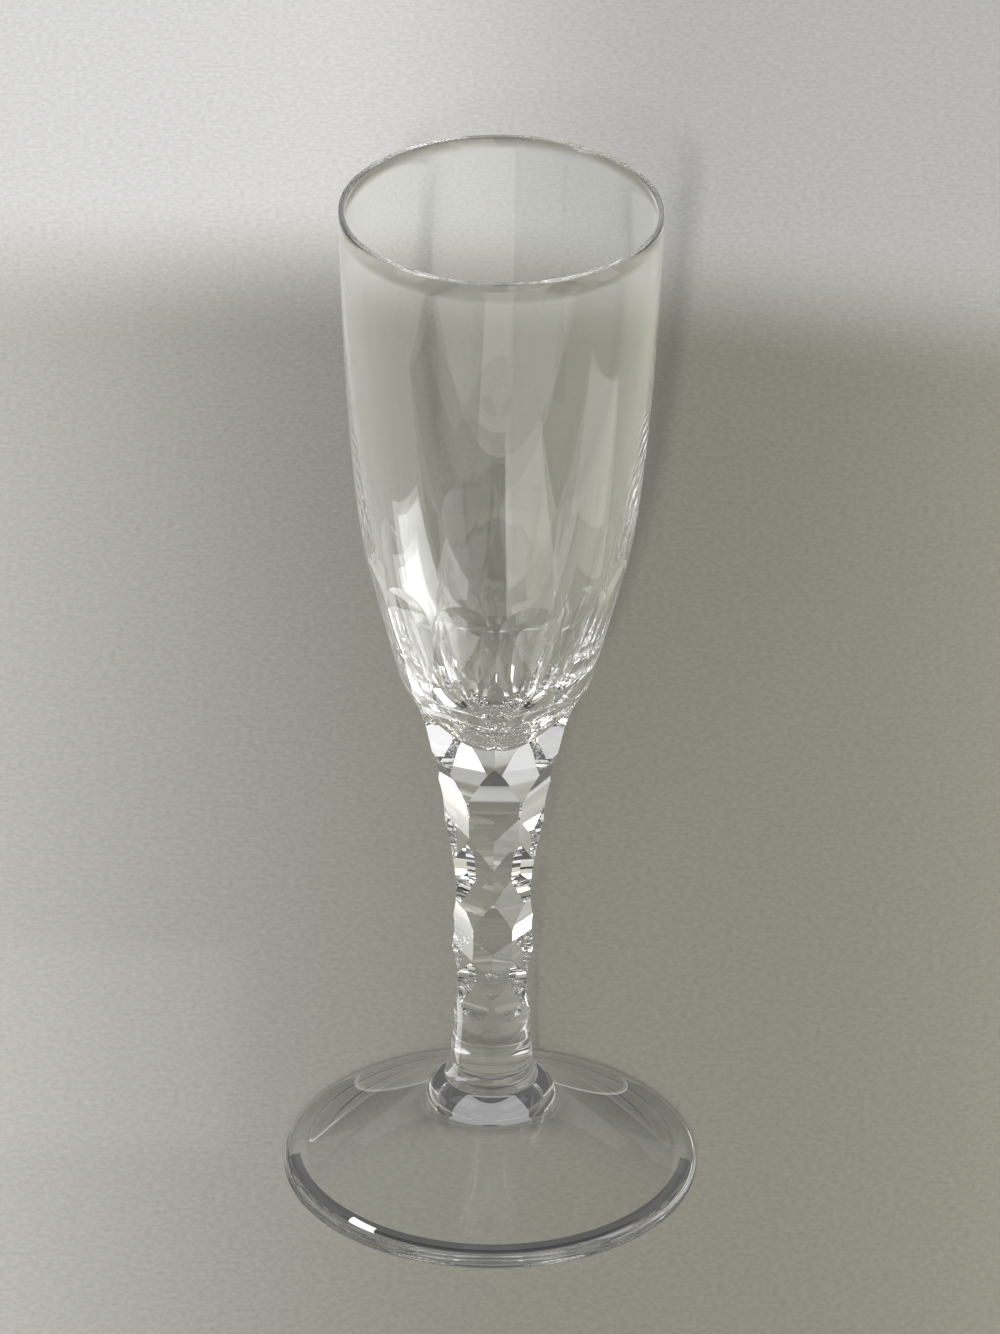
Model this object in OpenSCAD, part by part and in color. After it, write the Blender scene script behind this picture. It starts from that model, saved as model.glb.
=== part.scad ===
// Wine flute: one piece of clear crystal, standing on its foot with +Z up.
// A turned blank carries a thin bowl, a solid stem, a bead and a spread foot.
// Flat and hollow facets are then ground into the lower bowl and the stem by wheels.

/* [Bowl] */
// Height of the whole glass from the resting face to the rim
glass_h = 175; // [165:1:200]
// Outside diameter of the rim
rim_d = 51.4; // [48:0.5:56]
// Thickness of the glass at the rim
rim_wall = 0.95; // [0.8:0.05:1.3]
// Depth below the rim from which the side of the bowl pulls in
shoulder_drop = 25; // [19:1:31]
// How far the side pulls in there
shoulder_in = 0.6; // [0.4:0.05:0.9]
// Outside diameter of the bowl at its waist, just above the petal cuts
waist_d = 42.7; // [41.5:0.1:44]
// Height of the waist above the straight part of the petal cuts
waist_gap = 6.5; // [4.5:0.5:8.5]
// Slope of the outside at the waist, in degrees from upright
waist_lean = 9.8; // [8.8:0.1:11]
// Thickness of the glass at the waist
waist_wall = 1.7; // [1.3:0.1:2.1]
// Slope of the inside at the waist, in degrees from upright
lining_lean = 11.8; // [10.8:0.1:13]
// Depth of the lowest point inside the bowl below the straight part of the base cuts
well_drop = 3.4; // [1:0.1:5]
// Width of the rounded bottom inside the bowl
well_d = 12.7; // [10:0.5:15]

/* [Petal cuts on the bowl] */
// Height of the straight part of a petal facet above that of the base cuts
petal_gap = 5.6; // [4.6:0.1:6.6]
// Length of the straight part of a petal facet, measured upright
petal_len = 18.5; // [17:0.5:20]
// Depth of its upper end inside the waist of the bowl
petal_cut = 2; // [1.8:0.05:2.3]
// How much further apart opposite petal facets are at its upper end than at its lower
petal_flare = 8.5; // [8:0.1:9]
// Radius of the wheel that rounds the petal tops
petal_wheel_r = 40; // [34:1:46]

/* [Diamond cuts under the petals] */
// Distance between opposite diamond facets at their lower point
diamond_low_flats = 26.6; // [26.2:0.1:27]
// Height of that point above the straight part of the base cuts
diamond_gap = 2.3; // [1.7:0.1:2.9]
// Height of a diamond
diamond_len = 6.4; // [5.8:0.1:7]
// How much further apart opposite diamond facets are at their upper point
diamond_flare = 6.1; // [5.7:0.1:6.5]
// Radius of the wheel that hollows them
diamond_wheel_r = 18; // [16:0.5:22]

/* [Large cuts on the base of the bowl] */
// Distance between opposite base facets at the lower end of their flat part
base_low_flats = 18.5; // [18:0.1:19]
// Height of that place above the middle of the top row on the stem
base_gap = 11.2; // [10.2:0.1:12.2]
// Length of the flat part, measured upright
base_len = 8.4; // [7.4:0.1:9.4]
// How much further apart opposite base facets are at its upper end
base_flare = 3.4; // [2.9:0.1:3.9]
// Radius of the wheel that rounds both ends of a base facet
base_wheel_r = 16; // [14:0.5:19]

/* [Hollow cuts on the stem] */
// Facets in each row round the stem
stem_facets = 6; // [5:1:7]
// Height of the middle of the bottom row above the slimmest part of the stem
row_d_gap = 7; // [6.2:0.1:7.8]
// Distance between opposite facets at the middle of the bottom row
row_d_flats = 10.8; // [10.4:0.1:11.2]
// Wheel radius of the bottom row
row_d_wheel_r = 17; // [15:0.5:20]
// Height of the middle of the third row above that of the bottom row
row_c_gap = 9.6; // [8.8:0.1:10.4]
// Distance between opposite facets at the middle of the third row
row_c_flats = 10.8; // [10.4:0.1:11.2]
// Wheel radius of the third row
row_c_wheel_r = 22; // [20:1:25]
// Height of the middle of the second row above that of the third
row_b_gap = 8; // [7:0.1:9]
// Distance between opposite facets at the middle of the second row
row_b_flats = 11.9; // [11.5:0.1:12.4]
// Wheel radius of the second row
row_b_wheel_r = 37; // [32:1:42]
// Height of the middle of the top row above that of the second
row_a_gap = 12.2; // [11.2:0.1:13.2]
// Distance between opposite facets at the middle of the top row
row_a_flats = 13.8; // [13.2:0.1:14.4]
// Wheel radius of the top row
row_a_wheel_r = 27; // [24:1:30]

/* [Stem and bead] */
// Diameter of the slimmest part of the turned stem, before cutting
stem_d = 12.3; // [12:0.1:13]
// Height over which the stem swells into the bowl
stem_flare_h = 40; // [38:0.5:42]
// Diameter of the round lower end of the stem
column_d = 13.3; // [12.9:0.1:14]
// Height of that round end, from its groove up to the slimmest part
column_len = 7.2; // [6:0.1:8.4]
// Depth of the fine groove between the stem and its neck
groove_depth = 0.12; // [0.05:0.01:0.25]
// Height of the neck, from the round of the bead up to the groove
neck_len = 3.55; // [3:0.05:4.2]
// Largest diameter of the bead
bead_d = 20.9; // [19.5:0.1:22.5]
// Radius of the rounded side of the bead
bead_r = 4.2; // [3.8:0.1:4.6]
// Where the round of the bead ends and the neck starts, in degrees above its widest line
bead_top_angle = 70; // [62:1:76]

/* [Foot] */
// Diameter of the foot
foot_d = 67; // [60:0.5:76]
// Thickness of the foot at its edge
foot_edge_h = 3; // [2.4:0.1:3.8]
// Height that the top of the foot climbs from its edge to the bead
foot_rise = 10.3; // [9:0.1:11]
// Dip of the top of the foot below a straight slope
foot_dip = 1; // [0.6:0.1:1.4]
// Width of the flat ring that the foot rests on
rest_w = 3; // [2:0.1:4]
// Thickness of the foot between its edge and the bead
foot_wall = 3.2; // [2.6:0.1:3.8]

/* [Hidden] */
$fn = 96;
profile_steps = 24;
short_steps = 8;

petals = 2 * stem_facets;
facet_turn = 180 / stem_facets;
rim_r = rim_d / 2;
column_r = column_d / 2;
stem_r = stem_d / 2;
foot_r = foot_d / 2;
inner_rim_r = rim_r - rim_wall;

// The bead sits on the foot, and the neck is a hollow curve from the bead up to the stem
bead_centre = [bead_d / 2 - bead_r, foot_edge_h + foot_rise];
neck = bead_centre + bead_r * [cos(bead_top_angle), sin(bead_top_angle)];
column_h = neck[1] + neck_len;
neck_bend = [-0.35, 0.15];
neck_top_bend = [0.15, -1.6];
column_bend = [-0.05, 2];
stem_bend = 3;

// Heights of the cuts, stacked from the slimmest part of the stem upwards
stem_h = column_h + column_len;
row_d_h = stem_h + row_d_gap;
row_c_h = row_d_h + row_c_gap;
row_b_h = row_c_h + row_b_gap;
row_a_h = row_b_h + row_a_gap;
base_low = [base_low_flats / 2, row_a_h + base_gap];
base_high = base_low + [base_flare / 2, base_len];
diamond_low = [diamond_low_flats / 2, base_high[1] + diamond_gap];
diamond_high = diamond_low + [diamond_flare / 2, diamond_len];
petal_high = [waist_d / 2 - petal_cut, base_high[1] + petal_gap + petal_len];
petal_low = petal_high - [petal_flare / 2, petal_len];

// The outside and the inside each keep one slope where their two curves meet at the waist
waist = [waist_d / 2, petal_high[1] + waist_gap];
waist_up = 12.5 * [tan(waist_lean), 1];
waist_down = 15 * [tan(waist_lean), 1];
inner_waist = waist - [waist_wall, 0];
lining_up = 14.3 * [tan(lining_lean), 1];
lining_down = 24.7 * [tan(lining_lean), 1];
shoulder_h = glass_h - shoulder_drop;
lining_draft = 0.1;
well_h = base_high[1] - well_drop;

// The lip is a half round as wide as the wall, and the outside runs into it at this angle
lip_r = rim_wall / 2;
lip_centre = [rim_r - lip_r, glass_h - lip_r];
lip_start_angle = 15;

// The edge of the foot is a soft round that reaches out to the full radius
edge_round = foot_edge_h / 2;
rest_inset = 0.6 * edge_round;
edge_bulge = (rest_inset + edge_round) / 6;
edge_fullness = 0.8;
rest_out = foot_r - rest_inset;
rest_in = rest_out - rest_w;

// Bends of the top of the foot, as shares of the way from its edge to the bead
foot_outer_bend = 0.36;
foot_inner_bend = 0.7;
foot_inner_dip = 0.4 * foot_dip;
bead_sink = [0.15, 0.1];
dome_h = bead_centre[1] - foot_wall;
dome_spread = 0.78;

// Room that a cutting wheel's body needs outside the glass and past a facet's corners
cut_depth = 12;
cut_overlap = 1.3;
row_overlap = 2;
// Depth by which a flat grind bites below the round ends of the same facet
flat_bite = 0.03;

// Points along a cubic curve with two handles, without its first point
function curve(a, b, c, d, n) =
    [for (i = [1:n]) let (t = i / n, s = 1 - t)
        s * s * s * a + 3 * s * s * t * b + 3 * s * t * t * c + t * t * t * d];

// Points along a circular arc from one angle to another
function arc(centre, r, from, to, n) =
    [for (i = [0:n]) let (a = from + (to - from) * i / n)
        centre + r * [cos(a), sin(a)]];

// A point part of the way from a to b, moved down
function below(a, b, share, drop) = a + share * (b - a) - [0, drop];

// Rounded edge of the foot and its sloping top, up to the bead
function foot_side() =
    let (
        edge_top = [foot_r - edge_round, foot_edge_h],
        bead_seat = bead_centre + [bead_r, 0] - bead_sink
    )
    concat(
        [[rest_out, 0]],
        curve(
            [rest_out, 0],
            [foot_r + edge_bulge, 0],
            [foot_r + edge_bulge, edge_fullness * foot_edge_h],
            edge_top,
            short_steps),
        curve(
            edge_top,
            below(edge_top, bead_seat, foot_outer_bend, foot_dip),
            below(edge_top, bead_seat, foot_inner_bend, foot_inner_dip),
            bead_seat,
            profile_steps / 2));

// Bead, neck, groove and round lower end of the stem
function stem_side() =
    concat(
        arc(bead_centre, bead_r, 0, bead_top_angle, short_steps),
        curve(
            neck,
            neck + neck_bend,
            [column_r, column_h] + neck_top_bend,
            [column_r, column_h - groove_depth],
            short_steps),
        [[column_r - groove_depth, column_h], [column_r, column_h + groove_depth]],
        curve(
            [column_r, column_h + groove_depth],
            [column_r, column_h] + column_bend,
            [stem_r, stem_h - stem_bend],
            [stem_r, stem_h],
            short_steps));

// Flare of the blank from the slim stem to the bowl, then the side of the bowl
function bowl_side() =
    concat(
        curve(
            [stem_r, stem_h],
            [stem_r, stem_h + stem_flare_h],
            waist - waist_down,
            waist,
            profile_steps),
        curve(
            waist,
            waist + waist_up,
            [rim_r - shoulder_in, shoulder_h],
            [rim_r, lip_centre[1]],
            profile_steps),
        arc(lip_centre, lip_r, lip_start_angle, 180, short_steps));

// Inside of the bowl, from the rim down to its lowest point
function lining() =
    concat(
        curve(
            [inner_rim_r, lip_centre[1]],
            [inner_rim_r - lining_draft, shoulder_h],
            inner_waist + lining_up,
            inner_waist,
            profile_steps / 2),
        curve(
            inner_waist,
            inner_waist - lining_down,
            [well_d / 2, well_h],
            [0, well_h],
            profile_steps));

// Hollow underside of the foot, from its middle out to the resting ring
function underside() =
    concat(
        [[0, dome_h]],
        curve(
            [0, dome_h],
            [bead_d / 2, dome_h],
            [dome_spread * rest_in, foot_wall],
            [rest_in, 0],
            profile_steps / 2));

// The turned blank before any facet is cut
module blank() {
    rotate_extrude()
        polygon(concat(foot_side(), stem_side(), bowl_side(), lining(), underside()));
}

// Glass that a wheel takes away, as a slab across the stem. Its outline is drawn
// with the distance from the axis to the right and the height upwards.
module across_stem(width) {
    rotate([90, 0, 0])
        linear_extrude(width, center = true)
            children();
}

// A facet ground by a wheel that travels in a straight line between two places,
// each given as [distance from the axis, height]
module long_cut(low, high, wheel_r, width) {
    slope = atan2(high[0] - low[0], high[1] - low[1]);
    away = [cos(slope), -sin(slope)];
    across_stem(width)
        intersection() {
            union() {
                translate(low + wheel_r * away)
                    circle(wheel_r);
                translate(high + wheel_r * away)
                    circle(wheel_r);
                polygon([low - flat_bite * away, high - flat_bite * away,
                    high + wheel_r * away, low + wheel_r * away]);
            }
            translate([0, low[1] - wheel_r])
                square([high[0] + cut_depth, high[1] - low[1] + 2 * wheel_r]);
        }
}

// The same long cut repeated round the axis
module ring_of_cuts(count, turn, low, high, wheel_r) {
    width = 2 * cut_overlap * high[0] * tan(180 / count);
    for (i = [0:count - 1])
        rotate(turn + 360 * i / count)
            long_cut(low, high, wheel_r, width);
}

// One row of hollow facets, ground by a wheel that stays at one height
module hollow_row(turn, height, flats, wheel_r) {
    width = row_overlap * flats * tan(180 / stem_facets);
    for (i = [0:stem_facets - 1])
        rotate(turn + 360 * i / stem_facets)
            across_stem(width)
                intersection() {
                    translate([flats / 2 + wheel_r, height])
                        circle(wheel_r);
                    translate([0, height - wheel_r])
                        square([flats / 2 + cut_depth, 2 * wheel_r]);
                }
}

// Hollow diamond facets on the corners between the petals and the base facets.
// The wheel touches both points of each diamond.
module diamond_cuts() {
    across = diamond_high - diamond_low;
    half = norm(across) / 2;
    away = [across[1], -across[0]] / norm(across);
    centre = (diamond_low + diamond_high) / 2
        + sqrt(diamond_wheel_r * diamond_wheel_r - half * half) * away;
    for (i = [0:stem_facets - 1])
        rotate(facet_turn + 360 * i / stem_facets)
            across_stem(diamond_low_flats / 2)
                intersection() {
                    translate(centre)
                        circle(diamond_wheel_r);
                    translate([0, diamond_low[1] - 2 * half])
                        square([diamond_high[0] + cut_depth, 6 * half]);
                }
}

module flute() {
    color([0.86, 0.9, 0.9, 0.55])
        difference() {
            blank();
            ring_of_cuts(petals, facet_turn / 2, petal_low, petal_high, petal_wheel_r);
            diamond_cuts();
            ring_of_cuts(stem_facets, 0, base_low, base_high, base_wheel_r);
            hollow_row(facet_turn, row_a_h, row_a_flats, row_a_wheel_r);
            hollow_row(0, row_b_h, row_b_flats, row_b_wheel_r);
            hollow_row(facet_turn, row_c_h, row_c_flats, row_c_wheel_r);
            hollow_row(0, row_d_h, row_d_flats, row_d_wheel_r);
        }
}

flute();
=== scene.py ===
# %% [markdown]
# # A cut crystal flute in Blender
#
# The real glass is hot worked in one piece: a thin bowl, a solid stem, a bead and a spread foot.
# A cutter then holds it against turning stone wheels, which grind flat and hollow facets into the
# lower bowl and the stem. This lesson follows the same order: turn a blank, grind it, polish it.

# %% Load the frame that the model has to fit
import math
import bpy
from mathutils import Matrix, Vector


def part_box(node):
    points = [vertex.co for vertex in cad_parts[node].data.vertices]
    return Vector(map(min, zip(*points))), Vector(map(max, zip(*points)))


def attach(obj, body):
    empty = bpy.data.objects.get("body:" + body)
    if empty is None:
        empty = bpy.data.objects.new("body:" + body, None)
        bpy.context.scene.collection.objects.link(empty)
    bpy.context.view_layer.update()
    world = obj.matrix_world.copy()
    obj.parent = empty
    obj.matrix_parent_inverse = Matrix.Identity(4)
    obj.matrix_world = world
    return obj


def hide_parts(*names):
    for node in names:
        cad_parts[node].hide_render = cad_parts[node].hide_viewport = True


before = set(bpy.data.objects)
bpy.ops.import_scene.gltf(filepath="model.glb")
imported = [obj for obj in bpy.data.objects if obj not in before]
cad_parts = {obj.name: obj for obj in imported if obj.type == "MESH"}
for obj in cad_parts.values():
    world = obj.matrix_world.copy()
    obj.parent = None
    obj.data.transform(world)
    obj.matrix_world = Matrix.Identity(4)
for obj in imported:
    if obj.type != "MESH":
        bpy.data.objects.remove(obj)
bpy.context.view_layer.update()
low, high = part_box("flute")
print("flute stands from", low.z, "to", high.z, "metres")

# %% [markdown]
# ## Sizes
#
# The working drawing of the glass is in millimetres, and Blender works in metres, so every size is
# kept in millimetres and is turned into metres where a mesh is made. The height and the radius of
# the foot come from the frame, and the foot is turned a hair smaller, so that the dressed glass stays
# inside the box of the plain solid. The stem and its cuts are stacked upwards from the bead.

# %% Driving sizes, in millimetres
MM = 0.001
spare_room = 0.005
glass_h = high.z / MM
foot_r = high.x / MM - spare_room
rim_r = 25.7
rim_wall = 0.95
foot_edge = 3.0
bead_seat_h = 13.3
bead_r = 10.45
bead_round = 4.2
bead_top_angle = 70
neck_len = 3.55
groove = 0.12
column_r = 6.65
column_len = 7.2
stem_r = 6.15
waist = Vector((21.35, 115.0))
waist_wall = 1.7
well_r = 6.35
well_h = 81.0
print("the glass is", round(glass_h, 2), "mm high on a foot of", round(2 * foot_r, 2), "mm")

# %% Bead, column and the slimmest place of the stem
bead_centre = Vector((bead_r - bead_round, bead_seat_h))
bead_top = math.radians(bead_top_angle)
neck = bead_centre + bead_round * Vector((math.cos(bead_top), math.sin(bead_top)))
column = Vector((column_r, neck.y + neck_len))
slim = Vector((stem_r, column.y + column_len))
print("slimmest place of the stem at", round(slim.y, 2), "mm")

# %% [markdown]
# ## The outline of the blank
#
# A lathe worker thinks of a profile as a chain of short stretches, each bent its own way. A Bezier
# curve is a good match: every stretch has two ends and two handles. Each stretch becomes its own
# spline here, because a spline has its own resolution, so a tight lip can have small steps while a
# plain cone has large ones. Points are written as (distance from the axis, height), and a bend is the
# way from the end of a stretch to its handle.

# %% Helpers for stretches
def straight(a, b):
    """A stretch with no bend."""
    return [Vector(a), Vector(a), Vector(b), Vector(b)]


def round_stretch(centre, radius, start, end):
    """Part of a circle, from one angle to another, in degrees."""
    reach = 4 / 3 * math.tan(math.radians(end - start) / 4) * radius
    a, b = math.radians(start), math.radians(end)
    first = centre + radius * Vector((math.cos(a), math.sin(a)))
    last = centre + radius * Vector((math.cos(b), math.sin(b)))
    first_handle = first + reach * Vector((-math.sin(a), math.cos(a)))
    last_handle = last - reach * Vector((-math.sin(b), math.cos(b)))
    return [first, first_handle, last_handle, last]


def below(a, b, share, drop):
    """A point part of the way from a to b, moved down."""
    return a.lerp(b, share) - Vector((0, drop))


# %% Places and bends of the foot
edge_round = foot_edge / 2
edge_inset = 0.6
rest_w = 3
rest_out = foot_r - edge_inset * edge_round
rest_in = rest_out - rest_w
edge_bulge = foot_r + (1 + edge_inset) * edge_round / 6
edge_fullness = 0.8
edge_top = Vector((foot_r - edge_round, foot_edge))
seat_in, seat_down = 0.15, 0.1
seat = Vector((bead_r - seat_in, bead_seat_h - seat_down))
outer_handle = below(edge_top, seat, share=0.36, drop=1)
inner_handle = below(edge_top, seat, share=0.7, drop=0.4)
foot_wall = 3.2
dome_h = bead_seat_h - foot_wall
dome_spread = 0.78
print("the foot rests on a ring from", round(rest_in, 2), "to", round(rest_out, 2), "mm")

# %% Places and bends of the stem and the bowl
neck_bend, neck_top_bend = Vector((-0.35, 0.15)), Vector((0.15, -1.6))
column_bend, stem_bend = Vector((-0.05, 2)), Vector((0, 3))
flare_bend = Vector((0, 40))
outer_angle, inner_angle = 9.8, 11.8
outer_lean = Vector((math.tan(math.radians(outer_angle)), 1))
waist_down, waist_up = 15, 12.5
shoulder_drop, shoulder_in = 25, 0.6
shoulder_h = glass_h - shoulder_drop

inner_waist = waist - Vector((waist_wall, 0))
inner_lean = Vector((math.tan(math.radians(inner_angle)), 1))
lining_down, lining_up = 24.7, 14.3
lining_r = rim_r - rim_wall
lining_draft = 0.1
lip_r = rim_wall / 2
lip = Vector((rim_r - lip_r, glass_h - lip_r))
print("the wall is", waist_wall, "mm at the waist and", rim_wall, "mm at the rim")

# %% The stretches and their steps, from under the foot round to the bottom of the bowl
stretches = {
    "underside": ([Vector((0, dome_h)), Vector((bead_r, dome_h)),
                   Vector((dome_spread * rest_in, foot_wall)), Vector((rest_in, 0))], 24),
    "resting ring": (straight((rest_in, 0), (rest_out, 0)), 1),
    "edge of the foot": ([Vector((rest_out, 0)), Vector((edge_bulge, 0)),
                          Vector((edge_bulge, edge_fullness * foot_edge)), edge_top], 12),
    "top of the foot": ([edge_top, outer_handle, inner_handle, seat], 20),
    "seat of the bead": (straight(seat, bead_centre + Vector((bead_round, 0))), 1),
    "bead": (round_stretch(bead_centre, bead_round, 0, bead_top_angle), 14),
    "neck": ([neck, neck + neck_bend, column + neck_top_bend, column - Vector((0, groove))], 8),
    "groove down": (straight(column - Vector((0, groove)), column - Vector((groove, 0))), 1),
    "groove up": (straight(column - Vector((groove, 0)), column + Vector((0, groove))), 1),
    "column": ([column + Vector((0, groove)), column + column_bend, slim - stem_bend, slim], 6),
    "flare": ([slim, slim + flare_bend, waist - waist_down * outer_lean, waist], 48),
    "side": ([waist, waist + waist_up * outer_lean, Vector((rim_r - shoulder_in, shoulder_h)),
              Vector((rim_r, lip.y))], 24),
    "outer lip": (round_stretch(lip, lip_r, 0, 90), 5),
    "inner lip": (round_stretch(lip, lip_r, 90, 180), 5),
    "lining": ([Vector((lining_r, lip.y)), Vector((lining_r - lining_draft, shoulder_h)),
                inner_waist + lining_up * inner_lean, inner_waist], 20),
    "well": ([inner_waist, inner_waist - lining_down * inner_lean, Vector((well_r, well_h)),
              Vector((0, well_h))], 36),
}
print(len(stretches), "stretches in the outline")

# %% [markdown]
# ## Turning the blank
#
# The outline is made a chain of mesh edges and spun once round the axis. The ends of the chain lie on
# the axis, so merging doubles closes both poles and the seam, and the result is a solid of glass with
# its wall thickness already in it.

# %% Helpers for objects
MERGE = 1e-6


def deselect():
    """Leaves nothing selected, so that the next operator acts on its own object alone."""
    bpy.ops.object.select_all(action="DESELECT")


def pick(obj):
    """Makes obj the only selected and active object."""
    deselect()
    obj.select_set(True)
    bpy.context.view_layer.objects.active = obj
    return obj


def outline_curve(name, parts):
    """One Bezier spline for each stretch, in the XZ plane."""
    curve = bpy.data.curves.new(name, "CURVE")
    curve.dimensions = "3D"
    for points, steps in parts.values():
        spline = curve.splines.new("BEZIER")
        spline.bezier_points.add(1)
        spline.resolution_u = steps
        a, b = spline.bezier_points
        p = [Vector((point.x, 0, point.y)) * MM for point in points]
        for knob in (a, b):
            knob.handle_left_type = knob.handle_right_type = "FREE"
        a.co, a.handle_left, a.handle_right = p[0], p[0], p[1]
        b.co, b.handle_left, b.handle_right = p[3], p[2], p[3]
    obj = bpy.data.objects.new(name, curve)
    bpy.context.scene.collection.objects.link(obj)
    return obj


# %% Spin the outline
TURN_STEPS = 256
glass = pick(outline_curve("flute_glass", stretches))
bpy.ops.object.convert(target="MESH")
bpy.ops.object.mode_set(mode="EDIT")
bpy.ops.mesh.select_all(action="SELECT")
bpy.ops.mesh.remove_doubles(threshold=MERGE)
bpy.ops.mesh.spin(steps=TURN_STEPS, angle=2 * math.pi, center=(0, 0, 0), axis=(0, 0, 1))
bpy.ops.mesh.select_all(action="SELECT")
bpy.ops.mesh.remove_doubles(threshold=MERGE)
bpy.ops.mesh.normals_make_consistent(inside=False)
bpy.ops.object.mode_set(mode="OBJECT")
print("blank:", len(glass.data.polygons), "faces")

# %% [markdown]
# ## Crystal
#
# Lead crystal is almost colourless and bends light more than window glass: its index is about 1.54.
# The blown surface is fire polished. It is smooth, with a slow ripple that only shows in what it
# mirrors. The ground facets are polished again after cutting, but fine wheel lines stay in them.
# Both finishes share one node group, which gives a roughness and a height, and each material gives
# it its own values.

# %% A group for the surface of worked glass
LINE_SQUASH = (0.12, 0.12, 1.0)
HAZE_SIZE = 35.0
HAZE_FROM, HAZE_TO = 0.5, 0.8


def make_finish_group():
    """Ripple, fine lines round the glass and a thin haze, as a roughness and a height."""
    group = bpy.data.node_groups.new("worked_glass", "ShaderNodeTree")
    for name, value in (("Ripple Size", 60.0), ("Ripple", 0.3), ("Line Size", 900.0),
                        ("Lines", 0.1), ("Roughness", 0.01), ("Haze", 0.02)):
        socket = group.interface.new_socket(name, in_out="INPUT", socket_type="NodeSocketFloat")
        socket.default_value = value
    group.interface.new_socket("Roughness", in_out="OUTPUT", socket_type="NodeSocketFloat")
    group.interface.new_socket("Height", in_out="OUTPUT", socket_type="NodeSocketFloat")
    node, link = group.nodes.new, group.links.new
    given, put = node("NodeGroupInput"), node("NodeGroupOutput")
    place = node("ShaderNodeTexCoord")

    ripple = node("ShaderNodeTexNoise")
    ripple.inputs["Detail"].default_value = 1.0
    link(place.outputs["Object"], ripple.inputs["Vector"])
    link(given.outputs["Ripple Size"], ripple.inputs["Scale"])

    stretch = node("ShaderNodeMapping")
    stretch.inputs["Scale"].default_value = LINE_SQUASH
    lines = node("ShaderNodeTexNoise")
    lines.inputs["Detail"].default_value = 2.0
    link(place.outputs["Object"], stretch.inputs["Vector"])
    link(stretch.outputs["Vector"], lines.inputs["Vector"])
    link(given.outputs["Line Size"], lines.inputs["Scale"])

    soft = node("ShaderNodeMath")
    soft.operation = "MULTIPLY"
    link(ripple.outputs["Fac"], soft.inputs[0])
    link(given.outputs["Ripple"], soft.inputs[1])
    height = node("ShaderNodeMath")
    height.operation = "MULTIPLY_ADD"
    link(lines.outputs["Fac"], height.inputs[0])
    link(given.outputs["Lines"], height.inputs[1])
    link(soft.outputs["Value"], height.inputs[2])
    link(height.outputs["Value"], put.inputs["Height"])

    haze = node("ShaderNodeTexNoise")
    haze.inputs["Scale"].default_value = HAZE_SIZE
    haze.inputs["Detail"].default_value = 4.0
    link(place.outputs["Object"], haze.inputs["Vector"])
    patchy = node("ShaderNodeMapRange")
    patchy.inputs["From Min"].default_value = HAZE_FROM
    patchy.inputs["From Max"].default_value = HAZE_TO
    link(haze.outputs["Fac"], patchy.inputs["Value"])
    rough = node("ShaderNodeMath")
    rough.operation = "MULTIPLY_ADD"
    link(patchy.outputs["Result"], rough.inputs[0])
    link(given.outputs["Haze"], rough.inputs[1])
    link(given.outputs["Roughness"], rough.inputs[2])
    link(rough.outputs["Value"], put.inputs["Roughness"])
    return group


finish_group = make_finish_group()
print("finish group inputs:", [s.name for s in finish_group.interface.items_tree if s.in_out == "INPUT"])


# %% Two crystal materials
CRYSTAL_TINT = (0.985, 0.992, 0.988, 1)
CRYSTAL_IOR = 1.54
BUMP_STRENGTH, BUMP_DEPTH = 0.03, 0.0002
GRAZE_FROM, GRAZE_TO = 0.45, 0.85
LIGHT_SHADOW, DARK_SHADOW = 0.95, 0.6


def crystal(name, **values):
    """Clear lead crystal. Its shadow is light, and darker where the light only grazes the glass."""
    mat = bpy.data.materials.new(name)
    mat.use_nodes = True
    nodes, link = mat.node_tree.nodes, mat.node_tree.links.new
    shader = nodes["Principled BSDF"]
    shader.inputs["Base Color"].default_value = CRYSTAL_TINT
    shader.inputs["Metallic"].default_value = 0.0
    shader.inputs["IOR"].default_value = CRYSTAL_IOR
    shader.inputs["Transmission Weight"].default_value = 1.0
    finish = nodes.new("ShaderNodeGroup")
    finish.node_tree = finish_group
    for socket, value in values.items():
        finish.inputs[socket.replace("_", " ")].default_value = value
    raised = nodes.new("ShaderNodeBump")
    raised.inputs["Strength"].default_value = BUMP_STRENGTH
    raised.inputs["Distance"].default_value = BUMP_DEPTH
    link(finish.outputs["Height"], raised.inputs["Height"])
    link(finish.outputs["Roughness"], shader.inputs["Roughness"])
    link(raised.outputs["Normal"], shader.inputs["Normal"])

    clear = nodes.new("ShaderNodeBsdfTransparent")
    graze = nodes.new("ShaderNodeLayerWeight")
    passed = nodes.new("ShaderNodeMapRange")
    passed.inputs["From Min"].default_value = GRAZE_FROM
    passed.inputs["From Max"].default_value = GRAZE_TO
    passed.inputs["To Min"].default_value = LIGHT_SHADOW
    passed.inputs["To Max"].default_value = DARK_SHADOW
    link(graze.outputs["Facing"], passed.inputs["Value"])
    link(passed.outputs["Result"], clear.inputs["Color"])
    path = nodes.new("ShaderNodeLightPath")
    either = nodes.new("ShaderNodeMixShader")
    link(path.outputs["Is Shadow Ray"], either.inputs["Fac"])
    link(shader.outputs["BSDF"], either.inputs[1])
    link(clear.outputs["BSDF"], either.inputs[2])
    link(either.outputs["Shader"], nodes["Material Output"].inputs["Surface"])
    return mat


fire_polished = crystal("fire_polished_crystal", Ripple_Size=45.0, Ripple=1.0, Lines=0.0,
                        Roughness=0.0, Haze=0.012)
wheel_cut = crystal("wheel_cut_crystal", Ripple_Size=160.0, Ripple=0.7, Lines=0.5,
                    Roughness=0.004, Haze=0.02)
glass.data.materials.append(fire_polished)
print("materials:", fire_polished.name, wheel_cut.name)

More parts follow.
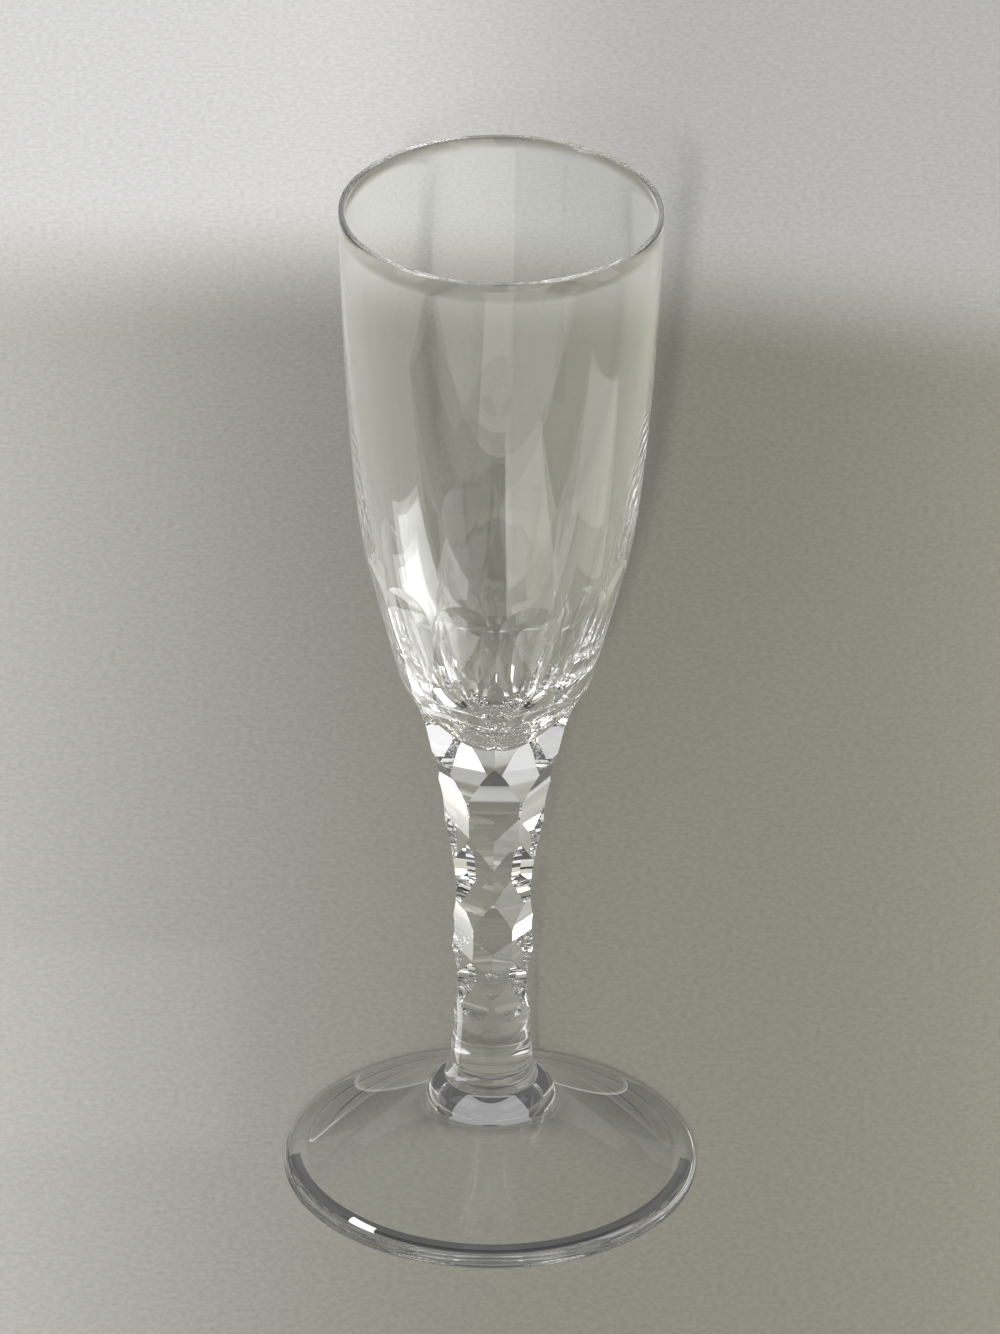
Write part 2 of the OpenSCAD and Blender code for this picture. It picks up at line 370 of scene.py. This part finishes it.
# %% [markdown]
# ## Grinding wheels
#
# A cutting wheel is a thin drum. Where it stays at one height it leaves a hollow facet. Where the
# glass slides along it, the facet gets a straight middle with two round ends. The cutter below is a
# cylinder, and for a sliding cut the half that lies ahead of its centre is moved on by the length of
# the slide. Taking it away from the blank with a Boolean is what the wheel does to the real glass.
# The cutter carries the ground material, and the Boolean passes that on to the facets it leaves.

# %% A wheel and its slide
WHEEL_STEPS = 360


def wheel(name, first, last, radius, width):
    """A wheel that touches the points first and last, and slides from one to the other."""
    first, last = Vector((first[0], 0, first[1])), Vector((last[0], 0, last[1]))
    slide = last - first
    ahead = slide.normalized() if slide.length > 0 else Vector((0, 0, 1))
    centre = (first + radius * Vector((ahead.z, 0, -ahead.x))) * MM
    deselect()
    bpy.ops.mesh.primitive_cylinder_add(vertices=WHEEL_STEPS, radius=radius * MM, depth=width * MM,
                                        location=centre, rotation=(math.pi / 2, 0, 0))
    obj = bpy.context.object
    obj.name = name
    bpy.ops.object.transform_apply(location=True, rotation=True, scale=True)
    obj.data.materials.append(wheel_cut)
    if slide.length > 0:
        for vertex in obj.data.vertices:
            vertex.select = (vertex.co - centre).dot(ahead) > 0
        for edge in obj.data.edges:
            edge.select = all(obj.data.vertices[i].select for i in edge.vertices)
        for face in obj.data.polygons:
            face.select = False
        bpy.ops.object.mode_set(mode="EDIT")
        bpy.ops.transform.translate(value=slide * MM)
        bpy.ops.object.mode_set(mode="OBJECT")
    return obj


def grind(blank, tool, count, turn):
    """Takes the tool away from the blank at evenly spaced places round the axis."""
    for i in range(count):
        copy = tool.copy()
        copy.data = tool.data.copy()
        bpy.context.scene.collection.objects.link(copy)
        copy.rotation_euler = (0, 0, math.radians(turn + 360 * i / count))
        pick(blank)
        cut = blank.modifiers.new("cut", "BOOLEAN")
        cut.operation = "DIFFERENCE"
        cut.solver = "MANIFOLD"
        cut.object = copy
        bpy.ops.object.modifier_apply(modifier=cut.name)
        bpy.data.objects.remove(copy)
    bpy.data.objects.remove(tool)
    print("ground", count, "facets at", turn, "degrees;", len(blank.data.polygons), "faces")


# %% [markdown]
# The cutter works down the glass. Twelve petals come first, then small hollow diamonds on every
# second corner under them, six large facets round the base of the bowl, and four rows of hollow
# facets down the stem. Each row is turned half a facet from the next, so that their edges close up
# into a net. The diamond wheel leans with the bowl and doesn't slide. It gets a slide too short to
# see, because the wheel takes its lean from its slide.

# %% Heights of the rows, upwards from the slimmest place of the stem
FACETS = 6
PETALS = 2 * FACETS
half_turn = 180 / FACETS
row_d_gap, row_c_gap, row_b_gap, row_a_gap = 7.0, 9.6, 8.0, 12.2
row_d = slim.y + row_d_gap
row_c = row_d + row_c_gap
row_b = row_c + row_b_gap
row_a = row_b + row_a_gap
print("rows of facets at", [round(row, 1) for row in (row_d, row_c, row_b, row_a)], "mm")

# %% Ends of the cuts on the bowl, and the way from each lower end to its upper one
base_reach, base_gap, base_way = 9.25, 11.2, Vector((1.7, 8.4))
petal_sink, petal_gap, petal_way = 2.0, 24.1, Vector((4.25, 18.5))
diamond_reach, diamond_gap, diamond_way = 13.3, 2.3, Vector((3.05, 6.4))
base_first = Vector((base_reach, row_a + base_gap))
base_last = base_first + base_way
petal_last = Vector((waist.x - petal_sink, base_last.y + petal_gap))
petal_first = petal_last - petal_way
diamond_first = Vector((diamond_reach, base_last.y + diamond_gap))
diamond_last = diamond_first + diamond_way
print("petals end", round(petal_last.y, 1), "mm above the table")

# %% Petals, diamonds and the base of the bowl
OVERLAP = 1.3
petal_wheel_r, diamond_wheel_r, base_wheel_r = 40, 18, 16


def facet_width(reach, count, spare):
    """Width of a cutter that covers a facet at this distance from the axis, with some to spare."""
    return 2 * spare * reach * math.tan(math.pi / count)


petal_wheel = wheel("petal_wheel", petal_first, petal_last, petal_wheel_r,
                    facet_width(petal_last.x, PETALS, OVERLAP))
grind(glass, petal_wheel, PETALS, half_turn / 2)

across = diamond_last - diamond_first
sink = diamond_wheel_r - math.sqrt(diamond_wheel_r ** 2 - (across.length / 2) ** 2)
deepest = (diamond_first + diamond_last) / 2 - sink * Vector((across.y, -across.x)).normalized()
LEAN_ONLY = 0.001
towards = deepest + LEAN_ONLY * across.normalized()
diamond_wheel = wheel("diamond_wheel", deepest, towards, diamond_wheel_r, diamond_first.x)
grind(glass, diamond_wheel, FACETS, half_turn)

base_wheel = wheel("base_wheel", base_first, base_last, base_wheel_r,
                   facet_width(base_last.x, FACETS, OVERLAP))
grind(glass, base_wheel, FACETS, 0)

# %% Four rows of hollow facets on the stem: height, reach from the axis, radius of the wheel, turn
ROW_OVERLAP = 2
rows = ((row_a, 6.9, 27, half_turn), (row_b, 5.95, 37, 0), (row_c, 5.4, 22, half_turn),
        (row_d, 5.4, 17, 0))
for height, reach, radius, turn in rows:
    place = Vector((reach, height))
    row_wheel = wheel("row_wheel", place, place, radius, facet_width(reach, FACETS, ROW_OVERLAP))
    grind(glass, row_wheel, FACETS, turn)

# %% [markdown]
# ## Shading
#
# The blank is round and the facets are hollow, so nearly every face shades smoothly into the next,
# and only the ridges between two cuts are sharp. Inside the band that the wheels reached, any edge
# that bends by more than a few degrees is such a ridge. Elsewhere only a real corner is one.

# %% Mark the ridges
RIDGE_ANGLE = 4.0
CORNER_ANGLE = 35.0
pick(glass)
bpy.ops.object.shade_smooth_by_angle(angle=math.radians(CORNER_ANGLE))
bpy.ops.object.mode_set(mode="EDIT")
bpy.ops.mesh.select_mode(type="EDGE")
bpy.ops.mesh.select_all(action="DESELECT")
bpy.ops.mesh.edges_select_sharp(sharpness=math.radians(RIDGE_ANGLE))
bpy.ops.object.mode_set(mode="OBJECT")
finishes = {face.material_index for face in glass.data.polygons}
beside_cut = set()
for face in glass.data.polygons:
    if face.material_index:
        beside_cut.update(face.edge_keys)
for edge in glass.data.edges:
    edge.select = edge.select and edge.key in beside_cut
bpy.ops.object.mode_set(mode="EDIT")
bpy.ops.mesh.mark_sharp()
bpy.ops.object.mode_set(mode="OBJECT")
print("materials on faces:", finishes, "ridge edges:", sum(e.use_edge_sharp for e in glass.data.edges))

# %% [markdown]
# ## Into the frame
#
# The dressed glass rides on the frame's only body and stands for the plain solid.

# %% Ride and replace
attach(glass, "root")
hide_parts("flute")
print(glass.name, "rides on the body and stands for the plain flute")

# %% [markdown]
# ## Floor
#
# Clear glass has no look of its own. It shows what is round it, so the room matters as much as the
# material. The floor is a plain pale cloth, with light and shade painted into its colour: a painted
# shadow darkens the middle of its near part, so it is lighter towards the sides, and painted light
# makes the far part clearly lighter, where a real sheet would begin to rise and turn to the window.
# Its near part is warmer on the right. A very fine grain keeps it from looking like plastic.

# %% Floor
FLOOR_W, FLOOR_H = 8, -0.0003
deselect()
bpy.ops.mesh.primitive_plane_add(size=FLOOR_W, location=(0, 0, FLOOR_H))
floor = bpy.context.object
floor.name = "floor"
print("floor is", FLOOR_W, "metres wide")

# %% A group for the tone of the cloth, with its painted light and shade
# Width and bend of the painted shadow down the middle, and where the painted light of the far part
# begins
SHADOW_W, SHADOW_CURVE = 0.078, 1.4
FAR_FROM, FAR_TO = 0.25, 0.31
FAR_LEAN, FAR_WAVE, FAR_WAVE_SIZE = 0.1, 0.06, 6.0
FAR_LEFT_X, FAR_RIGHT_X = -0.035, 0.035
GRAIN_SIZE = 900.0
WARM_FROM, WARM_TO, WARM_LEFT, WARM_FAR = -0.08, 0.03, 0.5, 0.25
WARM_GREEN, WARM_BLUE = -0.17, -1.0


def make_cloth_light_group():
    """Painted light and shade on a pale sheet: a shaded near middle, a lit far part, and the soft line
    between.
    """
    group = bpy.data.node_groups.new("pale_cloth_painted_light", "ShaderNodeTree")
    for name, value in (("Middle", 0.03), ("Near Shadow", 0.25), ("Side", 0.58), ("Far Left", 0.73),
                        ("Far Right", 0.5), ("Warmth", 0.2), ("Grain", 0.4)):
        socket = group.interface.new_socket(name, in_out="INPUT", socket_type="NodeSocketFloat")
        socket.default_value = value
    group.interface.new_socket("Color", in_out="OUTPUT", socket_type="NodeSocketColor")
    node, link = group.nodes.new, group.links.new
    given, put = node("NodeGroupInput"), node("NodeGroupOutput")

    def maths(kind, *values):
        step = node("ShaderNodeMath")
        step.operation = kind
        for socket, value in zip(step.inputs, values):
            if isinstance(value, (int, float)):
                socket.default_value = value
            else:
                link(value, socket)
        return step.outputs["Value"]

    def ramp(value, start, end, low_tone, high_tone):
        step = node("ShaderNodeMapRange")
        step.interpolation_type = "SMOOTHSTEP"
        for name, item in (("Value", value), ("From Min", start), ("From Max", end),
                           ("To Min", low_tone), ("To Max", high_tone)):
            if isinstance(item, (int, float)):
                step.inputs[name].default_value = item
            else:
                link(item, step.inputs[name])
        return step.outputs["Result"]

    def noise(scale, detail):
        step = node("ShaderNodeTexNoise")
        step.inputs["Scale"].default_value = scale
        step.inputs["Detail"].default_value = detail
        link(place.outputs["Object"], step.inputs["Vector"])
        return step.outputs["Fac"]

    place, parts = node("ShaderNodeTexCoord"), node("ShaderNodeSeparateXYZ")
    link(place.outputs["Object"], parts.inputs["Vector"])
    x, y = parts.outputs["X"], parts.outputs["Y"]
    # Near part: a painted shadow down the middle, lighter towards the sides
    off = maths("SUBTRACT", x, given.outputs["Middle"])
    shaded_near = ramp(maths("POWER", maths("ABSOLUTE", off), SHADOW_CURVE), 0.0, SHADOW_W,
                given.outputs["Near Shadow"], given.outputs["Side"])
    # Far part: painted light, where a real sheet would rise and turn to the window
    lit_far = ramp(x, FAR_LEFT_X, FAR_RIGHT_X, given.outputs["Far Left"], given.outputs["Far Right"])
    wave = maths("MULTIPLY", noise(FAR_WAVE_SIZE, 1.0), FAR_WAVE)
    depth = maths("SUBTRACT", maths("MULTIPLY_ADD", x, FAR_LEAN, y), wave)
    tone = node("ShaderNodeMix")
    link(ramp(depth, FAR_FROM, FAR_TO, 0.0, 1.0), tone.inputs[0])
    link(shaded_near, tone.inputs[2])
    link(lit_far, tone.inputs[3])
    speckle = maths("SUBTRACT", noise(GRAIN_SIZE, 2.0), 0.5)
    grain = maths("MULTIPLY_ADD", speckle, given.outputs["Grain"], 1.0)
    level = maths("MULTIPLY", tone.outputs[0], grain)
    spread = ramp(x, WARM_FROM, WARM_TO, WARM_LEFT, 1.0)
    fade = ramp(depth, FAR_FROM, FAR_TO, 1.0, WARM_FAR)
    tint = maths("MULTIPLY", given.outputs["Warmth"], maths("MULTIPLY", spread, fade))
    mixed = node("ShaderNodeCombineColor")
    link(level, mixed.inputs[0])
    for index, strength in ((1, WARM_GREEN), (2, WARM_BLUE)):
        link(maths("MULTIPLY", level, maths("MULTIPLY_ADD", tint, strength, 1.0)), mixed.inputs[index])
    link(mixed.outputs["Color"], put.inputs["Color"])
    return group


# %% Lay the cloth on the floor
cloth = bpy.data.materials.new("pale_floor")
cloth.use_nodes = True
cloth_shader = cloth.node_tree.nodes["Principled BSDF"]
cloth_shader.inputs["Roughness"].default_value = 0.9
cloth_shader.inputs["Specular IOR Level"].default_value = 0.2
# The cloth's colour carries the painted shadow and painted light of the group
cloth_light_and_shade = cloth.node_tree.nodes.new("ShaderNodeGroup")
cloth_light_and_shade.node_tree = make_cloth_light_group()
cloth.node_tree.links.new(cloth_light_and_shade.outputs["Color"], cloth_shader.inputs["Base Color"])
floor.data.materials.append(cloth)
print("floor uses", cloth_light_and_shade.node_tree.name)

# %% [markdown]
# ## Window and cards
#
# A photographer of glass lights the cloth with one soft window, and then lays white and black cards
# round the glass, out of the picture. The cards hardly light anything. The glass bends or mirrors
# them into its facets, and that is what draws its form: white cards make bright facets, black cards
# make dark ones. Each card here is a plane that the glass sees and the camera doesn't. Directions are
# given as an azimuth, where 0 is the camera's side and 90 is to its right, and an elevation.

# %% Helpers for light
LAMP_DISTANCE, LAMP_AIM = 8, Vector((0, 0, 0.1))


def way_out(azimuth, elevation):
    """Unit vector from the glass to a place in the room."""
    a, e = math.radians(azimuth), math.radians(elevation)
    return Vector((math.sin(a) * math.cos(e), -math.cos(a) * math.cos(e), math.sin(e)))


def window(name, azimuth, elevation, width, height, power, colour):
    """A soft lamp far away that faces the glass and isn't seen in it."""
    way = way_out(azimuth, elevation)
    deselect()
    bpy.ops.object.light_add(type="AREA", location=LAMP_AIM + LAMP_DISTANCE * way)
    lamp = bpy.context.object
    lamp.name = name
    lamp.rotation_euler = way.to_track_quat("Z", "Y").to_euler()
    lamp.data.shape = "RECTANGLE"
    lamp.data.size, lamp.data.size_y = width, height
    lamp.data.energy = power
    lamp.data.color = colour
    lamp.visible_camera = lamp.visible_glossy = lamp.visible_transmission = False


def card(name, glow, colour):
    """Finishes the flat piece that was added last as a card that the camera can't see."""
    paper = bpy.data.materials.new(name)
    paper.use_nodes = True
    nodes = paper.node_tree.nodes
    nodes.remove(nodes["Principled BSDF"])
    shine = nodes.new("ShaderNodeEmission")
    shine.inputs["Color"].default_value = (*colour, 1)
    shine.inputs["Strength"].default_value = glow
    paper.node_tree.links.new(shine.outputs["Emission"], nodes["Material Output"].inputs["Surface"])
    obj = bpy.context.object
    obj.name = name
    obj.data.materials.append(paper)
    obj.visible_camera = obj.visible_diffuse = obj.visible_shadow = False
    return obj


WHITE, CREAM, COOL = (1.0, 1.0, 1.0), (1.0, 0.96, 0.86), (0.97, 0.98, 1.0)

# %% Window, and a small hard part of it: azimuth, elevation, width, height, power, colour
lamps = {
    "window": (-1.5, 27, 2.4, 1.9, 880, (0.98, 0.985, 1.0)),
    "sun_patch": (-1.5, 26.5, 0.08, 0.08, 500, (1.0, 0.985, 0.96)),
}
for name, numbers in lamps.items():
    window(name, *numbers)
print(len(lamps), "lamps shine on the table")

# %% Cards that lie on the table: x from, x to, y from, y to, height, glow, tint
lying = {
    "left_card": (-0.165, -0.088, -0.065, 0.022, 0.002, 2.5, WHITE),
    "left_bright_card": (-0.155, -0.094, -0.062, 0.008, 0.003, 5.5, COOL),
    "left_near_card": (-0.10, -0.042, 0.005, 0.07, 0.002, 3.0, WHITE),
    "far_left_card": (-1.5, -0.12, 0.46, 3.0, 0.002, 0.8, WHITE),
    "far_right_card": (0.12, 1.5, 0.46, 3.0, 0.002, 1.4, WHITE),
    "left_front_card": (-0.10, -0.05, -0.10, -0.065, 0.002, 2.5, WHITE),
    "right_card": (0.018, 0.12, -0.20, -0.105, 0.002, 2.0, CREAM),
    "right_near_card": (0.05, 0.15, -0.105, -0.055, 0.002, 1.4, CREAM),
    "right_far_card": (0.15, 0.26, -0.10, 0.03, 0.002, 1.4, CREAM),
    "front_card": (-0.06, 0.32, -0.42, -0.20, 0.001, 1.25, CREAM),
    "black_card": (-0.25, 0.018, -0.22, -0.102, 0.002, 0.03, WHITE),
    "black_near_card": (-0.045, 0.018, -0.102, -0.064, 0.002, 0.06, WHITE),
}
for name, (x0, x1, y0, y1, height, glow, colour) in lying.items():
    deselect()
    bpy.ops.mesh.primitive_plane_add(size=1, location=((x0 + x1) / 2, (y0 + y1) / 2, height))
    card(name, glow, colour).scale = (x1 - x0, y1 - y0, 1)
print(len(lying), "cards lie on the table")

# %% [markdown]
# Light that meets the thick edge of the foot is bent. It leaves a dark ring on the floor under the
# edge, widest at the front, and a bright spot where it is gathered. A shadow in Blender goes straight
# through the glass, so the dark ring and the spot are laid under the foot as cards too.

# %% Cards under the edge of the foot: inner and outer radius and step back in mm, angles, height, glow
RING_STEPS = 180


def arc_card(name, inner, outer, back, start, end, height, glow):
    """A flat part of a ring that lies on the floor."""
    deselect()
    bpy.ops.mesh.primitive_circle_add(vertices=RING_STEPS, radius=inner * MM,
                                      location=(0, back * MM, height))
    obj = bpy.context.object
    bpy.ops.object.mode_set(mode="EDIT")
    bpy.ops.mesh.select_mode(type="EDGE")
    bpy.ops.mesh.select_all(action="SELECT")
    bpy.ops.mesh.extrude_region_move()
    bpy.ops.transform.resize(value=(outer / inner, outer / inner, 1))
    bpy.ops.mesh.select_all(action="DESELECT")
    bpy.ops.object.mode_set(mode="OBJECT")
    for face in obj.data.polygons:
        face.select = not start <= math.degrees(math.atan2(face.center.y, face.center.x)) <= end
    bpy.ops.object.mode_set(mode="EDIT")
    bpy.ops.mesh.select_mode(type="FACE")
    bpy.ops.mesh.delete(type="FACE")
    bpy.ops.object.mode_set(mode="OBJECT")
    card(name, glow, WHITE)


arcs = {
    "edge_half_shade": (30.3, 50.0, 3.2, -174, -6, -0.00022, 0.11),
    "edge_shade": (31.6, 50.0, 3.0, -168, -12, -0.00018, 0.05),
    "left_spot": (28.9, 30.1, 0, -138, -129, -0.0001, 1.3),
}
for name, numbers in arcs.items():
    arc_card(name, *numbers)
print(len(arcs), "arcs lie under the foot")

# %% Cards that stand round the table: azimuth, elevation, width, height, glow, tint
CARD_DISTANCE, CARD_AIM = 1.5, Vector((0, 0, 0.08))
standing = {
    "left_low": (-105, 9, 1.0, 0.5, 1.3, WHITE),
    "left_high": (-65, 48, 1.2, 0.9, 1.0, WHITE),
    "left_facet": (-54, 17, 0.4, 0.22, 0.65, WHITE),
    "right_facet": (54, 17, 0.4, 0.22, 1.0, WHITE),
    "back_low": (180, 26, 1.5, 0.3, 0.36, WHITE),
    "right_low": (85, 5, 1.0, 0.35, 1.9, CREAM),
    "right_high": (60, 52, 1.3, 0.6, 0.9, WHITE),
    "front_left": (-25, 10, 0.5, 0.5, 0.6, WHITE),
    "front_right": (30, 10, 0.9, 0.5, 0.6, WHITE),
}
for name, (azimuth, elevation, width, height, glow, colour) in standing.items():
    way = way_out(azimuth, elevation)
    deselect()
    bpy.ops.mesh.primitive_plane_add(size=1, location=CARD_AIM + CARD_DISTANCE * way,
                                     rotation=way.to_track_quat("Z", "Y").to_euler())
    card(name, glow, colour).scale = (width, height, 1)
print(len(standing), "cards stand round the table")

# %% [markdown]
# The rest of the room is pale to the camera and dim to the glass, as a studio with dark walls is.
# Light also goes round inside thick glass many times before it leaves, so the paths get more bounces
# than Blender's own number. With fewer, the thick parts would go black.

# %% Room
DIM, PALE = (0.11, 0.11, 0.11, 1), (0.48, 0.48, 0.47, 1)
BOUNCES = 80
world = bpy.data.worlds.new("room")
bpy.context.scene.world = world
world.use_nodes = True
room_nodes, room_link = world.node_tree.nodes, world.node_tree.links.new
dim = room_nodes["Background"]
dim.inputs["Color"].default_value = DIM
pale = room_nodes.new("ShaderNodeBackground")
pale.inputs["Color"].default_value = PALE
seen = room_nodes.new("ShaderNodeLightPath")
either = room_nodes.new("ShaderNodeMixShader")
room_link(seen.outputs["Is Camera Ray"], either.inputs["Fac"])
room_link(dim.outputs["Background"], either.inputs[1])
room_link(pale.outputs["Background"], either.inputs[2])
room_link(either.outputs["Shader"], room_nodes["World Output"].inputs["Surface"])

paths = bpy.context.scene.cycles
paths.max_bounces = paths.transmission_bounces = paths.glossy_bounces = BOUNCES
print("paths may bounce", paths.max_bounces, "times")

# %% [markdown]
# The camera looks down on the glass by about 29 degrees through a very long lens, so the rim and the
# foot keep nearly the same scale. It is turned a little off the glass's axis to place it in the
# frame, and leans by less than a degree.

# %% Camera
FRAME_W, FRAME_H = 1000, 1334
FOCAL_PX = 15629.0
AXIS_X_PX, AXIS_Y_PX = 496.0, 694.1
camera_aim = Vector((0, 0, 0.0875))
camera_distance = 2.5
camera_elevation = math.radians(29.17)
camera_roll = math.radians(0.69)
SENSOR_MM = 36
SIGHT_END = 50

ahead = Vector((0, math.cos(camera_elevation), -math.sin(camera_elevation)))
stand = camera_aim - ahead * camera_distance
right = Vector((1, 0, 0))
up = right.cross(ahead)
tilt = math.atan((AXIS_Y_PX - FRAME_H / 2) / FOCAL_PX)
pan = math.atan((AXIS_X_PX - FRAME_W / 2) / FOCAL_PX)
ahead, up = (ahead * math.cos(tilt) + up * math.sin(tilt),
             up * math.cos(tilt) - ahead * math.sin(tilt))
ahead, right = (ahead * math.cos(pan) - right * math.sin(pan),
                right * math.cos(pan) + ahead * math.sin(pan))
right, up = (right * math.cos(camera_roll) + up * math.sin(camera_roll),
             up * math.cos(camera_roll) - right * math.sin(camera_roll))
deselect()
bpy.ops.object.camera_add(location=stand)
camera = bpy.context.object
camera.matrix_world = Matrix.Translation(stand) @ Matrix((right, up, -ahead)).transposed().to_4x4()
camera.data.sensor_width = SENSOR_MM
camera.data.lens = FOCAL_PX * SENSOR_MM / FRAME_H
camera.data.clip_end = SIGHT_END
bpy.context.scene.camera = camera
bpy.context.scene.view_settings.view_transform = "Standard"
print("lens", round(camera.data.lens, 1), "mm")
